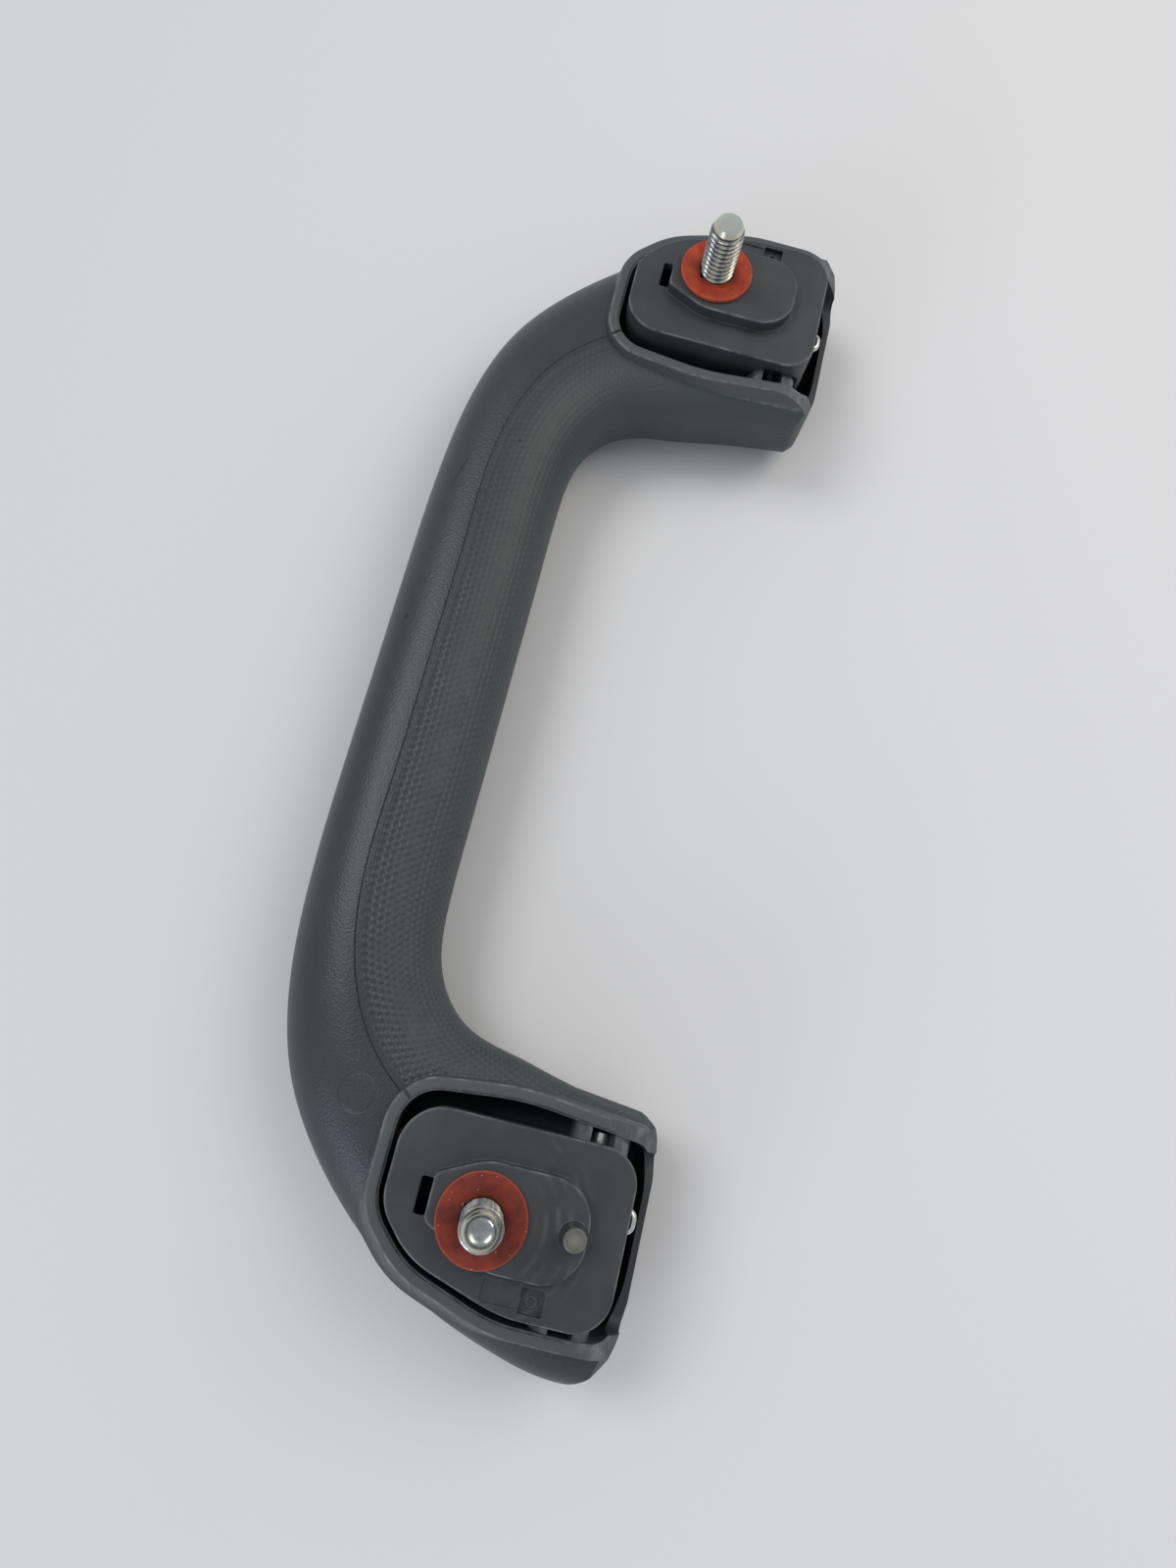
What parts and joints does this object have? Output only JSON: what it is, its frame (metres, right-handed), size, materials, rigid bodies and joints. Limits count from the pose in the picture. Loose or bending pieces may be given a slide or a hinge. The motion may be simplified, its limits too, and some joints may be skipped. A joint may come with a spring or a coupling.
{
  "type": "vehicle roof grab handle",
  "caption": "C-shaped moulded grab bar with a cup at each end, holding a sprung hinge bracket with a captive mounting screw.",
  "frame": {"origin": "midway between the two mounting screws, on the plane of the outer faces of their washers, which meet the roof", "axes": "+X along the line of the two screws, +Y from that line towards the grip bar, +Z away from the handle along the screws"},
  "size_m": [0.2048, 0.0652, 0.0377],
  "materials": {
    "grip_plastic": "fine grained",
    "bracket_plastic": "smooth moulded",
    "cover_plastic": "smooth moulded",
    "zinc_plated_steel": "zinc plated",
    "bright_steel": "ground",
    "spring_steel": "drawn wire",
    "vulcanised_fibre": "pressed sheet"
  },
  "bodies": {
    "grip": {"grip": "grip_plastic", "hinge_pin_right": "bright_steel", "hinge_pin_left": "bright_steel", "return_spring_right": "spring_steel", "return_spring_left": "spring_steel"},
    "bracket_right": {"bracket_right": "bracket_plastic", "mounting_screw_right": "zinc_plated_steel", "retaining_washer_right": "vulcanised_fibre", "compression_bush_right": "zinc_plated_steel", "screw_cover_right": "cover_plastic"},
    "bracket_left": {"bracket_left": "bracket_plastic", "mounting_screw_left": "zinc_plated_steel", "retaining_washer_left": "vulcanised_fibre", "compression_bush_left": "zinc_plated_steel", "screw_cover_left": "cover_plastic"}
  },
  "joints": [
    {"name": "bracket_right_hinge", "type": "hinge", "parent": "grip", "child": "bracket_right", "pos_m": [0.0815, -0.0146, -0.0106], "axis": [1, 0, 0], "range_deg": [0, 90], "stiffness_Nm_per_rad": 0.08, "springref_deg": -45.84, "deforming": ["return_spring_right"]},
    {"name": "bracket_left_hinge", "type": "hinge", "parent": "grip", "child": "bracket_left", "pos_m": [-0.0815, -0.0146, -0.0106], "axis": [1, 0, 0], "range_deg": [0, 90], "stiffness_Nm_per_rad": 0.08, "springref_deg": -45.84, "deforming": ["return_spring_left"]}
  ]
}
